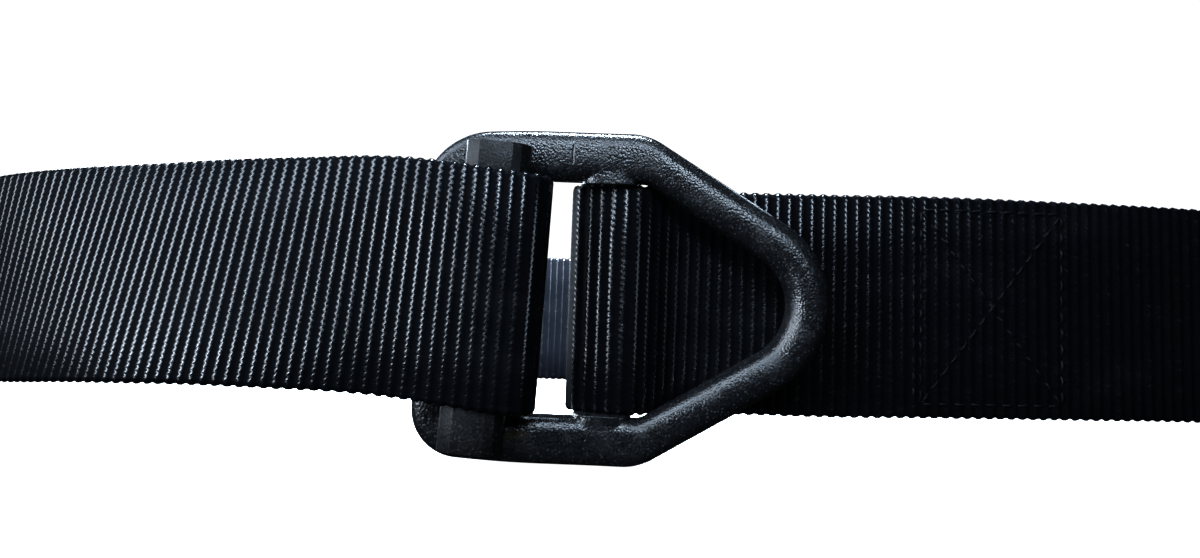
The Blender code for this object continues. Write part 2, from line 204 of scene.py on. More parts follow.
def strap_frame(along):
    """The strap's middle, its ways along and across, and its normal, at lengths from its sewn end."""
    columns = [np.interp(along, route_lengths, route_fine[:, i]) for i in range(5)]
    x, y, z, back, right = columns
    middle = np.column_stack([x + BUCKLE_CENTRE.x / MM, y + BUCKLE_CENTRE.y / MM, z])
    across = np.column_stack([np.tan(np.radians(right)), np.tan(np.radians(back)), np.ones(len(x))])
    across /= np.linalg.norm(across, axis=1)[:, None]
    forward = np.column_stack([np.interp(along, route_lengths, fine_forward[:, i]) for i in range(3)])
    forward /= np.linalg.norm(forward, axis=1)[:, None]
    normal = np.cross(forward, across)
    normal /= np.linalg.norm(normal, axis=1)[:, None]
    return middle, forward, across, normal


def selvedged_section():
    """The webbing's outline in section: place across, depth, and the way that its weave swells."""
    half = WEB_WIDTH / 2
    face = np.linspace(-1.0, 1.0, FACE_COLUMNS) * half * FACE_SHARE
    points = [(v, WEB_HALF_THICKNESS, 0.0, 1.0) for v in face]
    points += [
        (half * side, depth * WEB_HALF_THICKNESS, SELVEDGE_SWELL, depth)
        for side, depth in zip(SELVEDGE_SIDES, SELVEDGE_DEPTHS)
    ]
    points += [(-v, -d, -sv, -sd) for v, d, sv, sd in points]
    return np.array(points)


def woven_shell(name, section):
    """A closed strap with its section's points along its whole length, and the weave's own measures."""
    grooves = np.arange(FIRST_GROOVE, WEB_LENGTH / RIB_PITCH - LAST_GROOVE) * RIB_PITCH
    along = (grooves[:, None] + np.array(RIB_PLACES)[None, :]).ravel()
    ends = np.array(END_STEPS)
    along = np.concatenate([ends, along[along > END_CLEAR], WEB_LENGTH - ends[::-1]])
    count = len(along)
    per = len(section)
    v, depth, swell_v, swell_d = [np.tile(column, count)[:, None] for column in section.T]
    from_end, degrees = np.array(WEFT_SLANT).T
    slant = np.tan(np.radians(np.interp(WEB_LENGTH - along, from_end, degrees)))
    along_all = np.repeat(along, per)
    place = along_all - np.repeat(slant, per) * v[:, 0]
    middle, forward, across, normal = strap_frame(place)
    points = middle + across * v + normal * depth
    swell = across * swell_v + normal * swell_d
    ring = np.arange(per)
    first = (np.arange(count - 1) * per)[:, None]
    quads = np.stack([
        first + ring, first + per + ring, first + per + (ring + 1) % per, first + (ring + 1) % per,
    ], axis=-1).reshape(-1, 4)
    caps = [tuple(int(i) for i in ring), tuple(int(i) for i in ring[::-1] + (count - 1) * per)]
    mesh = bpy.data.meshes.new(name)
    mesh.from_pydata((points * MM).tolist(), [], quads.tolist() + caps)
    across_all = v[:, 0]
    for label, kind, values in (
        ("along", "FLOAT", along_all),
        ("across", "FLOAT", across_all),
        ("swell", "FLOAT_VECTOR", swell.reshape(-1)),
        ("ahead", "FLOAT_VECTOR", forward.reshape(-1)),
    ):
        layer = mesh.attributes.new(label, kind, "POINT")
        layer.data.foreach_set("vector" if kind == "FLOAT_VECTOR" else "value", values.astype(np.float32))
    uv = mesh.uv_layers.new(name="weave")
    loops = np.empty(len(mesh.loops), dtype=np.int32)
    mesh.loops.foreach_get("vertex_index", loops)
    uv_values = np.column_stack([along_all[loops], across_all[loops]])
    uv.data.foreach_set("uv", uv_values.astype(np.float32).reshape(-1))
    mesh.validate()
    mesh.shade_smooth()
    return mesh


class Thread:
    """One output socket of a node. Sums written with it lay Math nodes in its tree."""

    def __init__(self, tree, socket=None):
        self.tree = tree
        self.socket = socket

    def node(self, kind, settings=None, sockets=None, output=0):
        """Adds a node. Its settings come first, then the values or links of its sockets."""
        made = self.tree.nodes.new(kind)
        for label, value in (settings or {}).items():
            setattr(made, label, value)
        for label, value in (sockets or {}).items():
            if isinstance(label, int):
                socket = made.inputs[label]
            else:
                socket = next(s for s in made.inputs if label in (s.identifier, s.name))
            if isinstance(value, Thread):
                self.tree.links.new(value.socket, socket)
            else:
                socket.default_value = value
        if output is None:
            return None
        if isinstance(output, int):
            found = made.outputs[output]
        else:
            found = next(s for s in made.outputs if output in (s.identifier, s.name))
        return Thread(self.tree, found)

    def other(self, output):
        """Another output of the same node."""
        found = next(s for s in self.socket.node.outputs if output in (s.identifier, s.name))
        return Thread(self.tree, found)

    def feeds(self, node, label):
        """Links this output to a socket of another node."""
        self.tree.links.new(self.socket, node.inputs[label])

    def math(self, operation, *values):
        """A Math node on this output and the values."""
        return self.node("ShaderNodeMath", {"operation": operation}, dict(enumerate((self, *values))))

    def __add__(self, value):
        return self.math("ADD", value)

    def __radd__(self, value):
        return self.math("ADD", value)

    def __mul__(self, value):
        return self.math("MULTIPLY", value)

    def __rmul__(self, value):
        return self.math("MULTIPLY", value)

    def __sub__(self, value):
        return self.math("SUBTRACT", value)

    def __rsub__(self, value):
        return self.node("ShaderNodeMath", {"operation": "SUBTRACT"}, {0: value, 1: self})

    def __truediv__(self, value):
        return self.math("DIVIDE", value)

    def __pow__(self, value):
        return self.math("POWER", value)

    def eased(self, low, high, start=0.0, end=1.0):
        """Goes smoothly from start to end while this goes from low to high."""
        return self.node(
            "ShaderNodeMapRange",
            {"interpolation_type": "SMOOTHSTEP"},
            {"Value": self, "From Min": low, "From Max": high, "To Min": start, "To Max": end},
        )


def blended(thread, share, first, second):
    """A colour that goes from the first to the second with the share."""
    return thread.node(
        "ShaderNodeMix",
        {"data_type": "RGBA"},
        {"Factor_Float": share, "A_Color": first, "B_Color": second},
        output="Result_Color",
    )


def named_attribute(thread, name, kind="FLOAT"):
    """A mesh attribute read in a Geometry Nodes tree."""
    return thread.node("GeometryNodeInputNamedAttribute", {"data_type": kind}, {"Name": name})


def noise_over(thread, first, second, detail=2.0):
    """Noise over two numbers that run along the piece."""
    place = thread.node("ShaderNodeCombineXYZ", sockets={"X": first, "Y": second})
    return thread.node(
        "ShaderNodeTexNoise", {"noise_dimensions": "2D"}, {"Vector": place, "Scale": 1.0, "Detail": detail}
    )


def tree_with_inputs(name, inputs):
    """A Geometry Nodes tree that takes geometry and named sizes, and its first socket of each."""
    tree = bpy.data.node_groups.new(name, "GeometryNodeTree")
    tree.interface.new_socket("Geometry", in_out="INPUT", socket_type="NodeSocketGeometry")
    for label, (kind, value) in inputs.items():
        socket = tree.interface.new_socket(label, in_out="INPUT", socket_type=kind)
        if value is not None:
            socket.default_value = value
    tree.interface.new_socket("Geometry", in_out="OUTPUT", socket_type="NodeSocketGeometry")
    given = tree.nodes.new("NodeGroupInput")
    sockets = {s.name: Thread(tree, s) for s in given.outputs if s.name}
    return tree, sockets


def end_tree(tree, geometry, material):
    """Closes a tree: instances made real, then the material, then the output."""
    thread = Thread(tree)
    real = thread.node("GeometryNodeRealizeInstances", sockets={"Geometry": geometry})
    dressed = thread.node("GeometryNodeSetMaterial", sockets={"Geometry": real, "Material": material})
    thread.node("NodeGroupOutput", sockets={"Geometry": dressed}, output=None)


def grown(name, start, tree, sizes, material):
    """A finished plain mesh: the tree run on a starting object with these sizes."""
    holder = bpy.data.objects.new(name, start)
    bpy.context.scene.collection.objects.link(holder)
    maker = holder.modifiers.new("maker", "NODES")
    maker.node_group = tree
    for socket in tree.interface.items_tree:
        if socket.in_out == "INPUT" and socket.name in sizes:
            maker[socket.identifier] = sizes[socket.name]
    bpy.context.view_layer.update()
    graph = bpy.context.evaluated_depsgraph_get()
    evaluated = holder.evaluated_get(graph)
    mesh = bpy.data.meshes.new_from_object(evaluated, preserve_all_data_layers=True, depsgraph=graph)
    mesh.name = name
    bpy.data.objects.remove(holder, do_unlink=True)
    if not mesh.materials:
        mesh.materials.append(material)
    piece = bpy.data.objects.new(name, mesh)
    bpy.context.scene.collection.objects.link(piece)
    return piece


def rib_tree():
    """Swells each rib of the weave outwards, a little unevenly, and flattens the sealed ends."""
    tree, given = tree_with_inputs("woven_ribs", {
        "Rib pitch": ("NodeSocketFloat", RIB_PITCH),
        "Rib height": ("NodeSocketFloat", RIB_HEIGHT),
        "Crest width": ("NodeSocketFloat", RIB_CREST),
        "Unevenness": ("NodeSocketFloat", RIB_UNEVEN),
        "Wander": ("NodeSocketFloat", RIB_WANDER),
        "Sealed end": ("NodeSocketFloat", SEALED_END),
        "Length": ("NodeSocketFloat", WEB_LENGTH),
        "Material": ("NodeSocketMaterial", None),
    })
    thread = Thread(tree)
    along = named_attribute(thread, "along")
    across = named_attribute(thread, "across")
    swell = named_attribute(thread, "swell", "FLOAT_VECTOR")
    ahead = named_attribute(thread, "ahead", "FLOAT_VECTOR")
    slow = noise_over(thread, along * WANDER_SCALE[0], across * WANDER_SCALE[1])
    wander = (slow - 0.5) * given["Wander"] * 2.0
    phase = along / given["Rib pitch"]
    off_crest = ((phase + 0.5).math("FRACT") - 0.5) * given["Rib pitch"] / given["Crest width"]
    off_square = off_crest * off_crest
    ridge = (off_square * off_square * -1.0).math("EXPONENT")
    lumps = noise_over(thread, phase * LUMP_SCALE[0], across * LUMP_SCALE[1])
    from_end = along.math("MINIMUM", given["Length"] - along)
    woven = (from_end / given["Sealed end"]).eased(*SEALED_FADE)
    height = (ridge * given["Rib height"] + (lumps - 0.5) * given["Unevenness"] * 2.0) * woven
    lift = thread.node("ShaderNodeVectorMath", {"operation": "SCALE"}, {0: swell, "Scale": height * MM})
    drift = thread.node("ShaderNodeVectorMath", {"operation": "SCALE"}, {0: ahead, "Scale": wander * MM})
    moved = thread.node("ShaderNodeVectorMath", {"operation": "ADD"}, {0: lift, 1: drift})
    kept = thread.node(
        "GeometryNodeStoreNamedAttribute",
        {"data_type": "FLOAT", "domain": "POINT"},
        {"Geometry": given["Geometry"], "Name": "rib_phase", "Value": phase},
    )
    raised = thread.node("GeometryNodeSetPosition", sockets={"Geometry": kept, "Offset": moved})
    end_tree(tree, raised, given["Material"])
    return tree


END_PITCH = 0.49
ROW_SHIFT = 0.97
YARN_ROUNDNESS = 0.7
YARN_LIFT = 0.008
YARN_VARIES = 0.5
ZIGZAG = 0.07
ZIG_SHARE = 0.64
CREST_SHARP = 0.21
CREST_RISE = 0.02
CREST_LOW = 0.75
CREST_VARIES = 0.3
FLOAT_RISE = 0.012
FIBRE_SCALE = (9.0, 7.0)
FIBRE_RISE = 0.015
DUST_SCALE = (0.09, 0.12)
DUST_DETAIL = 4.0
DUST_EDGE = (0.50, 0.78)
DUST_AMOUNT = 0.35
DUST_SPOTS = 0.25
DUST_SPOT_POWER = 9.0
NYLON = (0.0042, 0.0048, 0.0066, 1.0)
NYLON_DUSTY = (0.012, 0.012, 0.014, 1.0)
CREST_ROUGHNESS = 0.21
VALLEY_ROUGHNESS = 0.60
CREST_GLOSS = 1.0
CREST_IOR = 1.75
VALLEY_GLOSS = 0.03
ROUGHNESS_VARIES = 0.08
DUST_ROUGHENS = 0.12


def black_nylon():
    """Matt yarn lying in the valleys, and on each crest polished floats that zigzag along the rib."""
    material = bpy.data.materials.new("black_nylon_webbing")
    material.use_nodes = True
    tree = material.node_tree
    thread = Thread(tree)
    phase = thread.node("ShaderNodeAttribute", {"attribute_name": "rib_phase"}, output="Fac")
    across = thread.node("ShaderNodeAttribute", {"attribute_name": "across"}, output="Fac")
    rib = (phase + 0.5).math("FLOOR")
    end = across / END_PITCH + rib * ROW_SHIFT
    number = end.math("FLOOR")
    within = end - number
    yarn = (within * pi).math("SINE") ** YARN_ROUNDNESS
    which = thread.node("ShaderNodeCombineXYZ", sockets={"X": rib, "Y": number})
    chance = thread.node("ShaderNodeTexWhiteNoise", {"noise_dimensions": "2D"}, {"Vector": which})
    float_place = (end / 2.0).math("FRACT")
    climb = float_place / ZIG_SHARE
    fall = (1.0 - float_place) / (1.0 - ZIG_SHARE)
    zigzag = climb.math("MINIMUM", fall) * 2.0 - 1.0
    arch = (climb.math("MINIMUM", 1.0) * pi).math("SINE")
    off_crest = ((phase + 0.5 + zigzag * ZIGZAG).math("FRACT") - 0.5) * RIB_PITCH / CREST_SHARP
    crest = (off_crest * off_crest * -1.0).math("EXPONENT")
    fullness = (CREST_LOW + arch * (1.0 - CREST_LOW)) * (1.0 - CREST_VARIES / 2 + chance * CREST_VARIES)
    uneven = 1.0 - YARN_VARIES / 2 + chance * YARN_VARIES
    bead = yarn * YARN_LIFT * uneven + crest * (CREST_RISE + arch * FLOAT_RISE)
    fibres = noise_over(thread, phase * FIBRE_SCALE[0], across * FIBRE_SCALE[1])
    height = bead + fibres * FIBRE_RISE
    bump = thread.node("ShaderNodeBump", sockets={"Strength": 1.0, "Distance": MM, "Height": height})
    wide = noise_over(thread, phase * DUST_SCALE[0], across * DUST_SCALE[1], DUST_DETAIL)
    dusty = wide.eased(*DUST_EDGE) * DUST_AMOUNT + (chance ** DUST_SPOT_POWER) * DUST_SPOTS
    colour = blended(thread, dusty, NYLON, NYLON_DUSTY)
    valley = tree.nodes["Principled BSDF"]
    colour.feeds(valley, "Base Color")
    (VALLEY_ROUGHNESS + (chance - 0.5) * ROUGHNESS_VARIES).feeds(valley, "Roughness")
    bump.feeds(valley, "Normal")
    valley.inputs["Specular IOR Level"].default_value = VALLEY_GLOSS
    polished = tree.nodes.new("ShaderNodeBsdfPrincipled")
    colour.feeds(polished, "Base Color")
    polished_roughness = CREST_ROUGHNESS + (chance - 0.5) * ROUGHNESS_VARIES + dusty * DUST_ROUGHENS
    polished_roughness.feeds(polished, "Roughness")
    bump.feeds(polished, "Normal")
    polished.inputs["Specular IOR Level"].default_value = CREST_GLOSS
    polished.inputs["IOR"].default_value = CREST_IOR
    both = tree.nodes.new("ShaderNodeMixShader")
    (crest * fullness).math("MINIMUM", 1.0).feeds(both, "Fac")
    tree.links.new(valley.outputs["BSDF"], both.inputs[1])
    tree.links.new(polished.outputs["BSDF"], both.inputs[2])
    tree.links.new(both.outputs["Shader"], tree.nodes["Material Output"].inputs["Surface"])
    return material


nylon = black_nylon()
strap = grown(
    "webbing",
    woven_shell("webbing", selvedged_section()),
    rib_tree(),
    {"Rib pitch": RIB_PITCH, "Rib height": RIB_HEIGHT, "Length": WEB_LENGTH, "Material": nylon},
    nylon,
)
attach(strap, "root")
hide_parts("belt_strap")


# The stitching. A box with a cross in it, sewn through both layers with bonded black thread, 26 mm
# long and nearly as wide as the strap. Its end towards the buckle is sewn twice.

BOX_NEAR_U = 52.4
BOX_FAR_U = 78.1
BOX_HALF_HEIGHT = 16.9
BOX_SECOND_ROW = 1.25
SECOND_ROW_SHORTER = 0.6
STITCH_PITCH = 2.75
STITCH_LENGTH = 2.5
STITCH_RISE = 0.30
STITCH_SINK = 0.62
THREAD_RADIUS = 0.23
STITCH_TURNS = 0.10
STITCH_SEED = 4
STITCH_STEPS = 7
THREAD_SIDES = 6
THREAD_BLACK = (0.004, 0.0045, 0.006, 1.0)
THREAD_GLOSS = 0.14
THREAD_ROUGHNESS = 0.28
WEAR_ROUGHENS = 0.2
WEAR_SCALE = 700.0
PLY_SCALE = 900.0
PLY_WAVER = 2.0
PLY_STRENGTH = 0.8
PLY_DEPTH = 0.06
# The lengths, from the sewn end, between which the outer and the sewn layer carry the box.
OUTER_LAYER = (100.0, 200.0)
INNER_LAYER = (1.0, 60.0)
LAYER_STEPS = 2000

run_along = np.linspace(*OUTER_LAYER, LAYER_STEPS)
run_u = strap_frame(run_along)[0][:, 0] - BUCKLE_CENTRE.x / MM
sewn_along = np.linspace(*INNER_LAYER, LAYER_STEPS)
sewn_u = strap_frame(sewn_along)[0][:, 0] - BUCKLE_CENTRE.x / MM
box_corners = [
    (BOX_NEAR_U, BOX_HALF_HEIGHT), (BOX_NEAR_U, -BOX_HALF_HEIGHT),
    (BOX_FAR_U, -BOX_HALF_HEIGHT), (BOX_FAR_U, BOX_HALF_HEIGHT),
]
near_top, near_foot, far_foot, far_top = box_corners
second_top = (BOX_NEAR_U - BOX_SECOND_ROW, BOX_HALF_HEIGHT - SECOND_ROW_SHORTER)
second_foot = (BOX_NEAR_U - BOX_SECOND_ROW, SECOND_ROW_SHORTER - BOX_HALF_HEIGHT)
seams = [
    (near_top, near_foot), (near_foot, far_foot), (far_foot, far_top), (far_top, near_top),
    (near_top, far_foot), (near_foot, far_top), (second_top, second_foot),
]


def seam_points(along_of_u, face):
    """Middles of all stitches on one face of the strap, with their directions and the way out."""
    places, ways, outs = [], [], []
    for start, end in seams:
        start, end = np.array(start), np.array(end)
        count = max(2, round(float(np.linalg.norm(end - start)) / STITCH_PITCH))
        share = (np.arange(count) + 0.5) / count
        line = start + (end - start) * share[:, None]
        along = along_of_u(line[:, 0])
        middle, forward, across, normal = strap_frame(along)
        out = normal * np.sign(normal[:, 1:2]) * face
        lift = WEB_HALF_THICKNESS + RIB_HEIGHT
        places.append(middle + across * line[:, 1:2] + out * lift)
        step = (end - start) / np.linalg.norm(end - start)
        rightward = forward * np.sign(forward[:, :1])
        ways.append(rightward * step[0] + across * step[1])
        outs.append(out)
    return np.vstack(places), np.vstack(ways), np.vstack(outs)


front = seam_points(lambda u: np.interp(u, run_u, run_along), -1.0)
inside = seam_points(lambda u: np.interp(u, sewn_u[::-1], sewn_along[::-1]), 1.0)
places, ways, outs = [np.vstack(pair) for pair in zip(front, inside)]
seam_mesh = bpy.data.meshes.new("seam_points")
seam_mesh.from_pydata((places * MM).tolist(), [], [])
for label, values in (("way", ways), ("out", outs)):
    layer = seam_mesh.attributes.new(label, "FLOAT_VECTOR", "POINT")
    layer.data.foreach_set("vector", values.astype(np.float32).reshape(-1))


def stitch_tree():
    """One arched stitch of thread at each point, laid along its seam, some turned a little."""
    tree, given = tree_with_inputs("stitches", {
        "Length": ("NodeSocketFloat", STITCH_LENGTH * MM),
        "Rise": ("NodeSocketFloat", STITCH_RISE * MM),
        "Sink": ("NodeSocketFloat", STITCH_SINK * MM),
        "Thread radius": ("NodeSocketFloat", THREAD_RADIUS * MM),
        "Turn": ("NodeSocketFloat", STITCH_TURNS),
        "Seed": ("NodeSocketInt", STITCH_SEED),
        "Material": ("NodeSocketMaterial", None),
    })
    thread = Thread(tree)
    below = given["Sink"] * -1.0
    start = thread.node("ShaderNodeCombineXYZ", sockets={"X": given["Length"] * -0.5, "Z": below})
    peak = thread.node("ShaderNodeCombineXYZ", sockets={"Z": given["Sink"] + given["Rise"]})
    end = thread.node("ShaderNodeCombineXYZ", sockets={"X": given["Length"] * 0.5, "Z": below})
    arch = thread.node(
        "GeometryNodeCurveQuadraticBezier",
        sockets={"Resolution": STITCH_STEPS, "Start": start, "Middle": peak, "End": end},
    )
    ring = thread.node(
        "GeometryNodeCurvePrimitiveCircle",
        sockets={"Resolution": THREAD_SIDES, "Radius": given["Thread radius"]},
    )
    stitch = thread.node(
        "GeometryNodeCurveToMesh", sockets={"Curve": arch, "Profile Curve": ring, "Fill Caps": True}
    )
    way = named_attribute(thread, "way", "FLOAT_VECTOR")
    out = named_attribute(thread, "out", "FLOAT_VECTOR")
    laid = thread.node("FunctionNodeAlignRotationToVector", {"axis": "X"}, {"Vector": way})
    upright = thread.node(
        "FunctionNodeAlignRotationToVector",
        {"axis": "Z", "pivot_axis": "X"},
        {"Rotation": laid, "Vector": out},
    )
    turn = thread.node(
        "FunctionNodeRandomValue",
        {"data_type": "FLOAT"},
        {"Min_001": given["Turn"] * -1.0, "Max_001": given["Turn"], "Seed": given["Seed"]},
        output="Value_001",
    )
    twist = thread.node("ShaderNodeCombineXYZ", sockets={"Z": turn})
    turned = thread.node(
        "FunctionNodeRotateRotation", {"rotation_space": "LOCAL"}, {"Rotation": upright, "Rotate By": twist}
    )
    sewn = thread.node(
        "GeometryNodeInstanceOnPoints",
        sockets={"Points": given["Geometry"], "Instance": stitch, "Rotation": turned},
    )
    end_tree(tree, sewn, given["Material"])
    return tree


def bonded_thread():
    """Black thread with the twist of its plies, dusty where it has rubbed."""
    material = bpy.data.materials.new("bonded_thread")
    material.use_nodes = True
    tree = material.node_tree
    shader = tree.nodes["Principled BSDF"]
    thread = Thread(tree)
    place = thread.node("ShaderNodeTexCoord", output="Object")
    plies = thread.node(
        "ShaderNodeTexWave",
        sockets={"Vector": place, "Scale": PLY_SCALE, "Distortion": PLY_WAVER},
        output="Fac",
    )
    wear = thread.node("ShaderNodeTexNoise", sockets={"Vector": place, "Scale": WEAR_SCALE})
    bump = thread.node(
        "ShaderNodeBump", sockets={"Strength": PLY_STRENGTH, "Distance": PLY_DEPTH * MM, "Height": plies}
    )
    blended(thread, wear, THREAD_BLACK, NYLON_DUSTY).feeds(shader, "Base Color")
    (wear * WEAR_ROUGHENS + THREAD_ROUGHNESS).feeds(shader, "Roughness")
    bump.feeds(shader, "Normal")
    shader.inputs["Specular IOR Level"].default_value = THREAD_GLOSS
    return material


thread_coat = bonded_thread()
stitches = grown("stitches", seam_mesh, stitch_tree(), {"Material": thread_coat}, thread_coat)
stitches.data.shade_smooth()
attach(stitches, "root")


# The buckle's frame. One black powder-coated zinc casting, with two rails, an end bar and a thick V
# ring bent 8 degrees forward. A thinner crossbar, set back between the rails, carries the sewn loop.

FRAME_LEFT = -34.45
FRAME_TOP = 28.05
FRAME_FOOT = 27.88
FRAME_HALF_THICKNESS = 3.0
END_DROP = 0.75
END_CORNERS = (12.5, 8.2)
LEVEL_FROM = -12.0
SHOULDER_ROUNDS = (10.0, 10.0)
SLOT_LEFT = -27.5
SLOT_HALF_HEIGHT = 19.7
SLOT_CORNER = 2.5
RING_CORNER = 2.4
RING_HALF_ANGLE = radians(32.2)
RING_ROUND = 16.1
RING_RIGHT = 34.1
RING_BAR = 6.9
RING_RAISE = 0.1405
RAISE_EASE = 2.5
RAIL_SQUARENESS = 3.4
RING_SQUARENESS = 2.35
RING_BLEND_FROM = -2.0
RING_BLEND_OVER = 18.0
PARTING_RISE = 0.16
PARTING_HALF_WIDTH = 0.22
PARTING_ANGLES = (0.0, 0.02, 0.05, 0.10, 0.17, 0.27)
REST_FROM_ANGLE = 0.4
REST_ANGLES = 9
STATIONS = {"end": 14, "corner": 18, "rail": 44, "shoulder": 14, "leg": 26, "ring": 30}
CROSSBAR_U = -2.2
CROSSBAR_Y = 3.6
CROSSBAR_HALF = (3.8, 1.6)
CROSSBAR_SQUARENESS = 3.2
CROSSBAR_END = 22.4
ROOT_HEIGHT = 1.35
ROOT_FULL_AT = 19.3
ROOT_SPREAD = (1.3, 0.9)
ROOT_DEPTH = 4.9
ROOT_SHARPNESS = 5
LET_IN_DEPTH = 2.7
LET_IN_STEPS = 8
ROOT_STEPS = 12
MIDDLE_STEPS = 12


def along_line(start, end, count):
    """Points from the start up to, but not at, the end."""
    share = np.linspace(0.0, 1.0, count, endpoint=False)[:, None]
    return np.array(start) * (1 - share) + np.array(end) * share


def rounded_corner(corner, before, after, radius, count):
    """Points of an arc that rounds a corner between its two neighbours."""
    corner, before, after = np.array(corner), np.array(before), np.array(after)
    inward = (before - corner) / np.linalg.norm(before - corner)
    outward = (after - corner) / np.linalg.norm(after - corner)
    half = np.arccos(np.dot(inward, outward)) / 2
    middle = (inward + outward) / np.linalg.norm(inward + outward)
    centre = corner + middle * radius / sin(half)
    first = corner + inward * radius / tan(half) - centre
    last = corner + outward * radius / tan(half) - centre
    start = atan2(first[1], first[0])
    sweep = atan2(first[0] * last[1] - first[1] * last[0], first @ last)
    angles = start + np.linspace(0.0, sweep, count)
    return centre + radius * np.column_stack([np.cos(angles), np.sin(angles)])


def half_contour(left, top, end_drop, end_corner, shoulder, tip, tip_round):
    """The frame's upper contour from the middle of its end bar to the ring's tip."""
    end_top = (left, top - end_drop)
    level = (LEVEL_FROM, top)
    shoulder_at = (tip - top / tan(RING_HALF_ANGLE), top)
    end_round = rounded_corner(end_top, (left, 0), (LEVEL_FROM, top), end_corner, STATIONS["corner"])
    shoulder_round = rounded_corner(shoulder_at, level, (tip, 0), shoulder, STATIONS["shoulder"])
    tip_centre = np.array([tip - tip_round / sin(RING_HALF_ANGLE), 0.0])
    angles = np.linspace(pi / 2 - RING_HALF_ANGLE, 0.0, STATIONS["ring"])
    tip_arc = tip_centre + tip_round * np.column_stack([np.cos(angles), np.sin(angles)])
    rail_share = np.linspace(0.0, 1.0, STATIONS["rail"])[1:-1]
    rail_u = end_round[-1][0] + (shoulder_round[0][0] - end_round[-1][0]) * rail_share
    from_level = np.clip((LEVEL_FROM - rail_u) / (LEVEL_FROM - end_round[-1][0]), 0, 1)
    drop = (end_round[-1][1] - top) * from_level**2
    rail = np.column_stack([rail_u, top + drop])
    leg = along_line(shoulder_round[-1], tip_arc[0], STATIONS["leg"])[1:]
    end = along_line((left, 0.0), end_round[0], STATIONS["end"])
    return np.vstack([end, end_round, rail, shoulder_round, leg, tip_arc])


def closed_contour(upper, lower):
    """One contour from two upper halves, the second of which is mirrored to lie below."""
    return np.vstack([upper, lower[-2:0:-1] * np.array([1.0, -1.0])])


def section_angles():
    """Angles round a bar's section, closer together at the parting line on its outside."""
    quarter = np.concatenate([PARTING_ANGLES, np.linspace(REST_FROM_ANGLE, pi / 2, REST_ANGLES)])
    half = np.concatenate([quarter, pi - quarter[-2::-1]])
    return np.concatenate([half, half[1:-1] + pi])


def superellipse(angles, squareness):
    """Cosine and sine of angles, pushed out towards a square."""
    power = 2.0 / squareness
    c, s = np.cos(angles), np.sin(angles)
    return np.sign(c) * np.abs(c) ** power, np.sign(s) * np.abs(s) ** power


def tube_mesh(name, rings, closed):
    """A closed mesh through rings of points, either joined end to end or capped."""
    count, per, _ = rings.shape
    last = count if closed else count - 1
    i = np.arange(last)[:, None]
    j = np.arange(per)[None, :]
    this_ring = i * per
    next_ring = ((i + 1) % count) * per
    k = (j + 1) % per
    quads = np.stack([this_ring + j, next_ring + j, next_ring + k, this_ring + k], axis=-1)
    faces = quads.reshape(-1, 4).tolist()
    if not closed:
        faces += [list(range(per)), list(range(count * per - 1, (count - 1) * per - 1, -1))]
    mesh = bpy.data.meshes.new(name)
    mesh.from_pydata((rings.reshape(-1, 3) * MM).tolist(), [], faces)
    bm = bmesh.new()
    bm.from_mesh(mesh)
    bmesh.ops.recalc_face_normals(bm, faces=bm.faces)
    bm.to_mesh(mesh)
    bm.free()
    mesh.shade_smooth()
    return mesh


def raised(points):
    """Leans the ring forward, beyond a soft crease across the rails."""
    u = points[..., 0]
    lean = RAISE_EASE * np.logaddexp(0.0, u / RAISE_EASE) * RING_RAISE
    points[..., 1] -= lean
    return points


ring_tip = RING_RIGHT + RING_ROUND * (1 / sin(RING_HALF_ANGLE) - 1)
hole_tip = ring_tip - RING_BAR / sin(RING_HALF_ANGLE)
outer = closed_contour(*[
    half_contour(FRAME_LEFT, top, END_DROP, end_corner, shoulder, ring_tip, RING_ROUND)
    for top, end_corner, shoulder in zip((FRAME_TOP, FRAME_FOOT), END_CORNERS, SHOULDER_ROUNDS)
])
hole = half_contour(
    SLOT_LEFT, SLOT_HALF_HEIGHT, 0.0, SLOT_CORNER, RING_CORNER, hole_tip, RING_ROUND - RING_BAR
)
inner = closed_contour(hole, hole)
middle_line = (outer + inner) / 2
half_across = (outer - inner) / 2
into_ring = np.clip((middle_line[:, 0] - RING_BLEND_FROM) / RING_BLEND_OVER, 0.0, 1.0)
into_ring = into_ring * into_ring * (3 - 2 * into_ring)
frame_rings = np.empty((len(outer), len(section_angles()), 3))
for i, amount in enumerate(into_ring):
    squareness = RAIL_SQUARENESS + (RING_SQUARENESS - RAIL_SQUARENESS) * amount
    side, depth = superellipse(section_angles(), squareness)
    depth = depth * FRAME_HALF_THICKNESS
    rise = PARTING_RISE * np.exp(-(depth / PARTING_HALF_WIDTH) ** 2) * (side > 0)
    outward = half_across[i] / np.linalg.norm(half_across[i])
    flat = middle_line[i] + side[:, None] * half_across[i] + rise[:, None] * outward
    frame_rings[i] = np.column_stack([flat[:, 0], depth, flat[:, 1]])

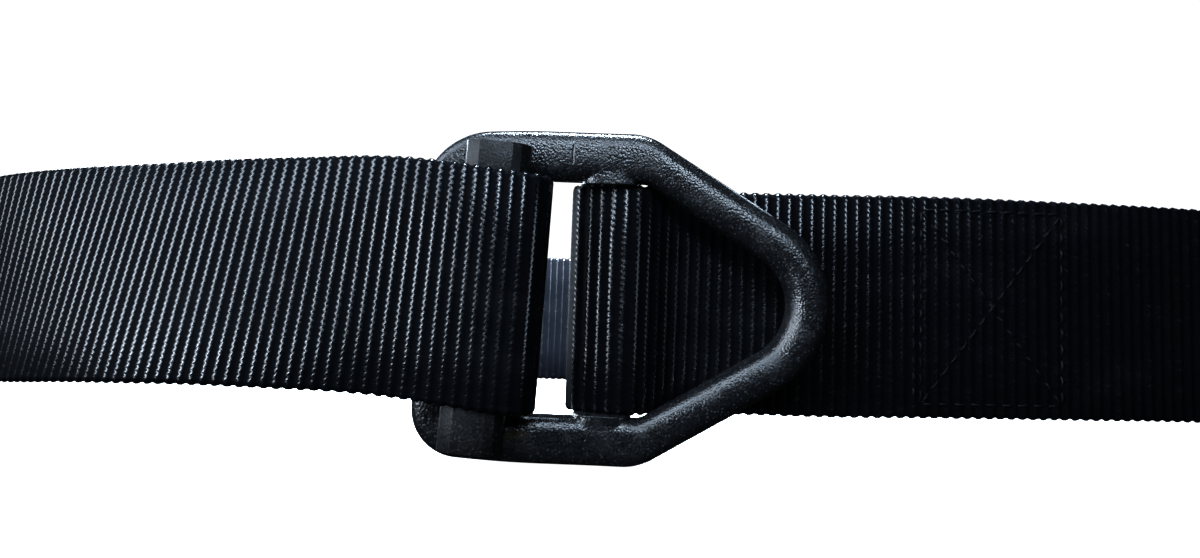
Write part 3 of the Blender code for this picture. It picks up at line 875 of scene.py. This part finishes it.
bar_w = np.concatenate([
    np.linspace(-CROSSBAR_END, -SLOT_HALF_HEIGHT, LET_IN_STEPS, endpoint=False),
    np.linspace(-SLOT_HALF_HEIGHT, -SLOT_HALF_HEIGHT + ROOT_HEIGHT, ROOT_STEPS, endpoint=False),
    np.linspace(-SLOT_HALF_HEIGHT + ROOT_HEIGHT, 0.0, MIDDLE_STEPS),
])
bar_w = np.concatenate([bar_w, -bar_w[-2::-1]])
crossbar_rings = np.empty((len(bar_w), len(section_angles()), 3))
for i, w in enumerate(bar_w):
    near = np.clip(1 - (ROOT_FULL_AT - abs(w)) / ROOT_HEIGHT, 0.0, 1.0)
    fillet = 1 - sqrt(1 - near * near)
    let_in = np.clip((abs(w) - SLOT_HALF_HEIGHT) / (CROSSBAR_END - SLOT_HALF_HEIGHT), 0.0, 1.0)
    front = CROSSBAR_Y - CROSSBAR_HALF[1] - ROOT_DEPTH * near**ROOT_SHARPNESS
    back = CROSSBAR_Y + CROSSBAR_HALF[1] - LET_IN_DEPTH * let_in * let_in
    side, depth = superellipse(section_angles(), CROSSBAR_SQUARENESS)
    left = CROSSBAR_U - CROSSBAR_HALF[0] - ROOT_SPREAD[0] * fillet
    right = CROSSBAR_U + CROSSBAR_HALF[0] + ROOT_SPREAD[1] * fillet
    crossbar_rings[i] = np.column_stack([
        (left + right) / 2 + side * (right - left) / 2,
        (front + back) / 2 + depth * (back - front) / 2,
        np.full(len(side), w),
    ])

centre_mm = np.array(BUCKLE_CENTRE) / MM
frame_mesh = tube_mesh("buckle", raised(frame_rings) + centre_mm, True)
crossbar_mesh = tube_mesh("crossbar", raised(crossbar_rings) + centre_mm, False)


def joined(name, first, second):
    """One closed mesh from two that overlap."""
    whole = bpy.data.objects.new(name, first)
    tool = bpy.data.objects.new("tool", second)
    for obj in (whole, tool):
        bpy.context.scene.collection.objects.link(obj)
    union = whole.modifiers.new("union", "BOOLEAN")
    union.operation = "UNION"
    union.solver = "EXACT"
    union.object = tool
    bpy.context.view_layer.update()
    graph = bpy.context.evaluated_depsgraph_get()
    mesh = bpy.data.meshes.new_from_object(whole.evaluated_get(graph), depsgraph=graph)
    mesh.name = name
    whole.modifiers.clear()
    whole.data = mesh
    bpy.data.objects.remove(tool, do_unlink=True)
    mesh.shade_smooth()
    return whole


COAT_BLACK = (0.0085, 0.0088, 0.0100, 1.0)
COAT_GREY = (0.017, 0.0178, 0.0205, 1.0)
COAT_ROUGHNESS = 0.21
COAT_GLOSS = 0.95
PEEL_SIZE = 0.9
PEEL_DEPTH = 0.02
GRAIN_SIZE = 2.5
GRAIN_DEPTH = 0.050
# Painted glints: pale dots of this size and colour in the coat stand in for tiny sparkles of light.
GLINT_SIZE = 1.7
PAINTED_GLINT = (0.060, 0.068, 0.080, 1.0)
BRONZE = (0.11, 0.085, 0.06, 1.0)
WORN_AT = (-18.0, -22.7)
WORN_HALF = (4.6, 1.1)
SEAM_U = -8.7
SEAM_WIDTH = 0.16
SEAM_DEPTH = 0.14
SEAM_WAVER = 0.8
# The heights between which the seam shows on the upper rail, and the depth where the front begins.
SEAM_FOOT = (22.3, 22.9)
SEAM_HEAD = (25.9, 25.3)
SEAM_FRONT = (-0.5, -1.5)
PATCH_SIZE = 0.22
GREY_EDGE = (0.42, 0.72)
# The painted glints' edge, and the share of cells that carry one.
GLINT_EDGE = (0.36, 0.20)
GLINT_SHARE = (0.25, 0.85)
WORN_EDGE = (1.0, 0.4, 0.0, 0.6)
WORN_FRONT = (-1.0, -2.0)
WORN_FINE = 2.4
WORN_COARSE = 2.0
WORN_METAL = 0.8
DULL_EDGE = (0.35, 0.7)
DULL_PATCHES = 0.12
GRAIN_ROUGHENS = 0.2
# A place beyond the piece, for a coat that is worn or seamed nowhere.
NOWHERE = 90.0


def powder_coat(name, black, coarseness, dulness, gloss, worn_at, seam_u):
    """Fine-grained powder coat with an orange-peel skin, painted glints, one worn place and one casting
    seam.
    """
    material = bpy.data.materials.new(name)
    material.use_nodes = True
    tree = material.node_tree
    shader = tree.nodes["Principled BSDF"]
    thread = Thread(tree)
    object_place = thread.node("ShaderNodeTexCoord", output="Object")
    place = thread.node(
        "ShaderNodeVectorMath", {"operation": "SCALE"}, {0: object_place, "Scale": 1 / MM}
    )
    shifted = thread.node(
        "ShaderNodeVectorMath", {"operation": "SUBTRACT"}, {0: place, 1: tuple(centre_mm)}
    )
    u = thread.node("ShaderNodeSeparateXYZ", sockets={0: shifted})
    y = u.other("Y")
    w = u.other("Z")

    def noise(scale, detail):
        return thread.node(
            "ShaderNodeTexNoise", sockets={"Vector": place, "Scale": scale, "Detail": detail}
        )

    def cells(scale):
        return thread.node(
            "ShaderNodeTexVoronoi", sockets={"Vector": place, "Scale": scale}, output="Distance"
        )

    peel = noise(PEEL_SIZE, 1.0)
    grain = noise(GRAIN_SIZE, 2.0)
    pebbles = cells(GRAIN_SIZE)
    patches = noise(PATCH_SIZE, 2.0)
    off_seam = (u - seam_u + (patches - 0.5) * SEAM_WAVER) / SEAM_WIDTH
    on_rail = w.eased(*SEAM_FOOT) * w.eased(*SEAM_HEAD) * y.eased(*SEAM_FRONT)
    seam = (off_seam * off_seam * -1.0).math("EXPONENT") * on_rail
    skin = (peel - 0.5) * PEEL_DEPTH * 2.0 + pebbles * pebbles * -GRAIN_DEPTH
    height = skin * coarseness - seam * SEAM_DEPTH
    bump = thread.node("ShaderNodeBump", sockets={"Strength": 1.0, "Distance": MM, "Height": height})
    worn_u = (u - worn_at[0]) / WORN_HALF[0]
    worn_w = (w - worn_at[1]) / WORN_HALF[1]
    ragged = (grain - 0.5) * WORN_FINE
    from_worn = worn_u * worn_u + worn_w * worn_w + ragged + (patches - 0.5) * WORN_COARSE
    worn = from_worn.eased(*WORN_EDGE) * y.eased(*WORN_FRONT)
    # Painted glints: the pale dots mixed into the coat's colour here stand in for sparkles of light.
    glint_cells = cells(GLINT_SIZE)
    glint_pick = thread.node("ShaderNodeSeparateXYZ", sockets={0: glint_cells.other("Color")})
    painted_glints = glint_cells.eased(*GLINT_EDGE) * glint_pick.eased(*GLINT_SHARE) * coarseness
    coat = blended(thread, grain.eased(*GREY_EDGE), black, COAT_GREY)
    coat = blended(thread, painted_glints, coat, PAINTED_GLINT)
    blended(thread, worn, coat, BRONZE).feeds(shader, "Base Color")
    dull = patches.eased(*DULL_EDGE) * DULL_PATCHES + (grain - 0.5) * GRAIN_ROUGHENS
    (COAT_ROUGHNESS + dulness + dull).feeds(shader, "Roughness")
    (worn * WORN_METAL).feeds(shader, "Metallic")
    bump.feeds(shader, "Normal")
    shader.inputs["Specular IOR Level"].default_value = gloss
    return material


coated_frame = powder_coat("powder_coated_frame", COAT_BLACK, 1.0, 0.0, COAT_GLOSS, WORN_AT, SEAM_U)
buckle = joined("buckle", frame_mesh, crossbar_mesh)
buckle.data.materials.clear()
buckle.data.materials.append(coated_frame)
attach(buckle, "root")
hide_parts("buckle_frame")


# The friction bar, which stands for the part's slide bar. A loose bar of the same coated zinc that the
# strap wraps. Its body lies hidden in the wrap, and the lug at each end, with flat crisp facets, rests
# on the front of a rail.

BAR_U = -22.3
BAR_BODY_U = 0.5
BAR_BODY_HALF = (6.2, 2.25)
BAR_BODY_Y = -5.7
BAR_BODY_END = 18.9
BAR_SQUARENESS = 3.0
BAR_BODY_RINGS = 20
BODY_END_ROUND = 0.4
BODY_END_POWER = 8
LUG_FACETS = (
    (-5.35, -3.35), (-5.35, -5.6), (-5.05, -6.5), (-2.9, -8.0), (2.5, -8.0), (3.9, -7.4), (5.15, -5.9),
    (5.25, -3.35),
)
LUG_ENDS = (25.15, -25.75)
LUG_STARTS = (17.2, -17.2)
LUG_EDGE_ROUND = 0.16
LUG_EDGE_STEPS = 2
SHARP_FROM = 24
BAR_COAT = (0.0095, 0.0085, 0.0080, 1.0)
BAR_COARSENESS = 0.6
BAR_DULNESS = 0.16
BAR_GLOSS = 0.35


def lug_mesh(start, end):
    """A faceted prism between two heights, its edges barely rounded."""
    bm = bmesh.new()
    foot = [bm.verts.new((u * MM, y * MM, start * MM)) for u, y in LUG_FACETS]
    tip = [bm.verts.new((u * MM, y * MM, end * MM)) for u, y in LUG_FACETS]
    count = len(LUG_FACETS)
    bm.faces.new(foot)
    bm.faces.new(tip[::-1])
    for i in range(count):
        j = (i + 1) % count
        bm.faces.new((foot[j], foot[i], tip[i], tip[j]))
    bmesh.ops.recalc_face_normals(bm, faces=bm.faces)
    bmesh.ops.bevel(
        bm, geom=list(bm.edges), offset=LUG_EDGE_ROUND * MM, offset_type="OFFSET",
        segments=LUG_EDGE_STEPS, profile=0.5, affect="EDGES",
    )
    mesh = bpy.data.meshes.new("lug")
    bm.to_mesh(mesh)
    bm.free()
    return mesh


body_w = BAR_BODY_END * np.sin(np.linspace(-pi / 2, pi / 2, BAR_BODY_RINGS))
body_rings = np.empty((len(body_w), len(section_angles()), 3))
for i, w in enumerate(body_w):
    share = (1 - (abs(w) / (BAR_BODY_END + BODY_END_ROUND)) ** BODY_END_POWER) ** 0.5
    side, depth = superellipse(section_angles(), BAR_SQUARENESS)
    body_rings[i] = np.column_stack([
        BAR_BODY_U + side * BAR_BODY_HALF[0] * share, BAR_BODY_Y + depth * BAR_BODY_HALF[1] * share,
        np.full(len(side), w),
    ])
upper_lug, lower_lug = [lug_mesh(start, end) for start, end in zip(LUG_STARTS, LUG_ENDS)]
half_made = joined("friction_bar", tube_mesh("bar_body", body_rings, False), upper_lug)
half_mesh = half_made.data
bpy.data.objects.remove(half_made, do_unlink=True)
bar = joined("friction_bar", half_mesh, lower_lug)
bar.data.transform(Matrix.Rotation(radians(BAR_TILT), 4, "Y"))
bar.data.transform(Matrix.Translation(BUCKLE_CENTRE + Vector((BAR_U * MM, 0.0, 0.0))))
bar.data.set_sharp_from_angle(angle=radians(SHARP_FROM))
coated_bar = powder_coat(
    "powder_coated_bar", BAR_COAT, BAR_COARSENESS, BAR_DULNESS, BAR_GLOSS, (0.0, NOWHERE), NOWHERE
)
bar.data.materials.clear()
bar.data.materials.append(coated_bar)
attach(bar, "root")
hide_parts("slide_bar")


# The studio. A pale floor that glows a little, under a white surround that hardly lights the belt.
# A window's soft light comes from the left, with a strip of it low down, the sky's from above it and
# two more from behind. Four small lights fill what the belt shades. The camera sees no light itself.

FLOOR_SIZE = 6.0
FLOOR_DROP = 0.0003
FLOOR_PALE = (0.9, 0.9, 0.9, 1.0)
FLOOR_ROUGHNESS = 0.9
FLOOR_GLOW = 0.8
WHITE = (1.0, 1.0, 1.0, 1.0)
SURROUND_LIGHT = 0.01
WINDOW_TINT = (0.76, 0.87, 1.0)
SKY_TINT = (0.68, 0.83, 1.0)
# Each row is a light's name, its place and aim in metres, its width and height in metres, its watts,
# its tint, and the angle in degrees that it spreads over.
LIGHTS = (
    ("window", (-1.09, -0.44, 0.42), (-0.06, -0.04, 0.03), (0.85, 0.65), 8.0, WINDOW_TINT, 180),
    ("window_edge", (-0.88, -0.86, 0.12), (-0.05, -0.065, 0.03), (0.5, 0.16), 4.4, WINDOW_TINT, 180),
    ("sky", (-0.62, -0.75, 0.83), (-0.04, -0.06, 0.03), (0.75, 0.4), 5.0, SKY_TINT, 180),
    ("behind_left", (-0.62, 1.02, 0.36), (0.0, 0.06, 0.03), (0.6, 0.5), 8.0, SKY_TINT, 180),
    ("behind_right", (0.62, 1.02, 0.36), (0.0, 0.06, 0.03), (0.6, 0.5), 8.0, SKY_TINT, 180),
    ("above_camera", (-0.034, -0.511, 0.257), (-0.045, -0.065, 0.035), (0.18, 0.10), 0.054, SKY_TINT, 44),
    ("wrap_edge", (0.035, -0.15, 0.035), (-0.0535, -0.074, 0.03), (0.03, 0.05), 0.0005, SKY_TINT, 28),
    ("inner", (-0.135, -0.012, 0.045), (-0.044, -0.05, 0.03), (0.07, 0.07), 0.25, WINDOW_TINT, 180),
    ("band", (-0.05, -0.02, 0.36), (-0.06, 0.075, 0.02), (0.12, 0.08), 1.6, SKY_TINT, 50),
)

half_floor = FLOOR_SIZE / 2
floor_mesh = bpy.data.meshes.new("studio_floor")
floor_mesh.from_pydata(
    [(-half_floor, -half_floor, -FLOOR_DROP), (half_floor, -half_floor, -FLOOR_DROP),
     (half_floor, half_floor, -FLOOR_DROP), (-half_floor, half_floor, -FLOOR_DROP)],
    [], [(0, 1, 2, 3)],
)
floor = bpy.data.objects.new("studio_floor", floor_mesh)
bpy.context.scene.collection.objects.link(floor)
pale = bpy.data.materials.new("pale_floor")
pale.use_nodes = True
pale_shader = pale.node_tree.nodes["Principled BSDF"]
pale_shader.inputs["Base Color"].default_value = FLOOR_PALE
pale_shader.inputs["Roughness"].default_value = FLOOR_ROUGHNESS
pale_shader.inputs["Emission Color"].default_value = WHITE
pale_shader.inputs["Emission Strength"].default_value = FLOOR_GLOW
floor.data.materials.append(pale)
floor.visible_glossy = False
floor.visible_diffuse = False

for name, place, aim, size, watts, tint, spread in LIGHTS:
    lamp = bpy.data.lights.new(name, "AREA")
    lamp.shape = "RECTANGLE"
    lamp.size, lamp.size_y = size
    lamp.energy = watts
    lamp.color = tint
    lamp.spread = radians(spread)
    holder = bpy.data.objects.new(name, lamp)
    holder.location = place
    holder.rotation_euler = (Vector(aim) - Vector(place)).to_track_quat("-Z", "Y").to_euler()
    holder.visible_camera = False
    bpy.context.scene.collection.objects.link(holder)

surround = bpy.data.worlds.new("surround")
bpy.context.scene.world = surround
surround.use_nodes = True
air = Thread(surround.node_tree)
seen = air.node("ShaderNodeLightPath", output="Is Camera Ray")
backdrop = surround.node_tree.nodes["Background"]
(seen * (1.0 - SURROUND_LIGHT) + SURROUND_LIGHT).feeds(backdrop, "Strength")
backdrop.inputs["Color"].default_value = WHITE

bpy.context.scene.view_settings.view_transform = "Standard"
bpy.context.scene.view_settings.look = "Medium High Contrast"
